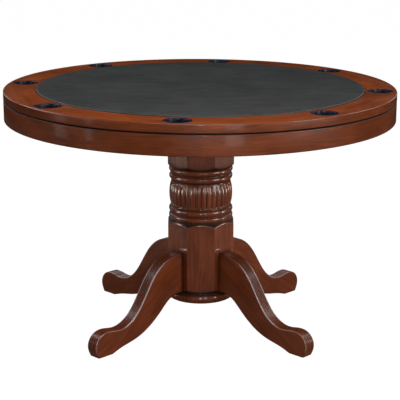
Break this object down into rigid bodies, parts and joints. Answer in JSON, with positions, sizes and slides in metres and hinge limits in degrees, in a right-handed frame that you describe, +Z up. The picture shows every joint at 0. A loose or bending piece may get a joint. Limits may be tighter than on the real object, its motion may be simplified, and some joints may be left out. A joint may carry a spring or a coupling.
{
  "type": "gaming table",
  "caption": "Round pedestal gaming table with a padded playing surface in a wooden ring, drop-in cups, a bent apron, a turned octagonal column and reeded sweeping legs.",
  "frame": {"origin": "on the floor, under the column's axis", "axes": "+Z up along the column's axis, -Y towards the front, the legs on the diagonals between the axes"},
  "size_m": [1.2191, 1.2192, 0.775],
  "materials": {
    "ring_wood": "satin chestnut stain",
    "edge_wood": "satin chestnut stain",
    "apron_wood": "satin chestnut stain",
    "column_wood": "satin chestnut stain, glaze in the recesses",
    "leg_wood": "satin chestnut stain, glaze in the recesses",
    "frame_wood": "bare hardwood",
    "plywood": "bare plywood",
    "foam": "dense foam",
    "vinyl": "fine-grained black vinyl, satin",
    "felt": "pressed felt",
    "cup_plastic": "moulded, very dark blue-black",
    "leveller_plastic": "moulded nylon",
    "zinc_steel": "bright zinc plate",
    "brass": "turned"
  },
  "bodies": {
    "base": {"apron_segment_1": "apron_wood", "apron_segment_2": "apron_wood", "apron_segment_3": "apron_wood", "apron_segment_4": "apron_wood", "splice_block_1": "frame_wood", "splice_block_2": "frame_wood", "splice_block_3": "frame_wood", "splice_block_4": "frame_wood", "splice_screws": "zinc_steel", "support_rail_1": "frame_wood", "support_rail_2": "frame_wood", "rest_pads": "felt", "mounting_plate": "plywood", "plate_screws": "zinc_steel", "column_top_block": "frame_wood", "column_bolts": "zinc_steel", "column_stave_1": "column_wood", "column_stave_2": "column_wood", "column_stave_3": "column_wood", "column_stave_4": "column_wood", "column_stave_5": "column_wood", "column_stave_6": "column_wood", "column_stave_7": "column_wood", "column_stave_8": "column_wood", "leg_1": "leg_wood", "leg_2": "leg_wood", "leg_3": "leg_wood", "leg_4": "leg_wood", "leg_bolts": "zinc_steel", "leg_washers": "zinc_steel", "leg_nuts": "zinc_steel", "leveller_inserts": "brass"},
    "game_top": {"ring_segment_1": "ring_wood", "ring_segment_2": "ring_wood", "ring_segment_3": "ring_wood", "ring_segment_4": "ring_wood", "ring_segment_5": "ring_wood", "ring_segment_6": "ring_wood", "ring_segment_7": "ring_wood", "ring_segment_8": "ring_wood", "backing_panel": "plywood", "rim_band": "edge_wood", "playing_board": "plywood", "foam_pad": "foam", "vinyl_cover": "vinyl", "board_screws": "zinc_steel", "locating_blocks": "frame_wood"},
    "drop_in_cup_1": {"cup_1": "cup_plastic"},
    "drop_in_cup_2": {"cup_2": "cup_plastic"},
    "drop_in_cup_3": {"cup_3": "cup_plastic"},
    "drop_in_cup_4": {"cup_4": "cup_plastic"},
    "drop_in_cup_5": {"cup_5": "cup_plastic"},
    "drop_in_cup_6": {"cup_6": "cup_plastic"},
    "drop_in_cup_7": {"cup_7": "cup_plastic"},
    "drop_in_cup_8": {"cup_8": "cup_plastic"},
    "leveller_foot_1": {"leveller_1": "leveller_plastic"},
    "leveller_foot_2": {"leveller_2": "leveller_plastic"},
    "leveller_foot_3": {"leveller_3": "leveller_plastic"},
    "leveller_foot_4": {"leveller_4": "leveller_plastic"}
  },
  "joints": [
    {"name": "game_top_lift", "type": "slide", "parent": "base", "child": "game_top", "axis": [0, 0, 1], "range_m": [0, 0.12]},
    {"name": "cup_1_lift", "type": "slide", "parent": "game_top", "child": "drop_in_cup_1", "axis": [0, 0, 1], "range_m": [0, 0.07]},
    {"name": "cup_2_lift", "type": "slide", "parent": "game_top", "child": "drop_in_cup_2", "axis": [0, 0, 1], "range_m": [0, 0.07]},
    {"name": "cup_3_lift", "type": "slide", "parent": "game_top", "child": "drop_in_cup_3", "axis": [0, 0, 1], "range_m": [0, 0.07]},
    {"name": "cup_4_lift", "type": "slide", "parent": "game_top", "child": "drop_in_cup_4", "axis": [0, 0, 1], "range_m": [0, 0.07]},
    {"name": "cup_5_lift", "type": "slide", "parent": "game_top", "child": "drop_in_cup_5", "axis": [0, 0, 1], "range_m": [0, 0.07]},
    {"name": "cup_6_lift", "type": "slide", "parent": "game_top", "child": "drop_in_cup_6", "axis": [0, 0, 1], "range_m": [0, 0.07]},
    {"name": "cup_7_lift", "type": "slide", "parent": "game_top", "child": "drop_in_cup_7", "axis": [0, 0, 1], "range_m": [0, 0.07]},
    {"name": "cup_8_lift", "type": "slide", "parent": "game_top", "child": "drop_in_cup_8", "axis": [0, 0, 1], "range_m": [0, 0.07]},
    {"name": "leveller_1_screw", "type": "slide", "parent": "base", "child": "leveller_foot_1", "axis": [0, 0, -1], "range_m": [0, 0.01]},
    {"name": "leveller_2_screw", "type": "slide", "parent": "base", "child": "leveller_foot_2", "axis": [0, 0, -1], "range_m": [0, 0.01]},
    {"name": "leveller_3_screw", "type": "slide", "parent": "base", "child": "leveller_foot_3", "axis": [0, 0, -1], "range_m": [0, 0.01]},
    {"name": "leveller_4_screw", "type": "slide", "parent": "base", "child": "leveller_foot_4", "axis": [0, 0, -1], "range_m": [0, 0.01]}
  ]
}
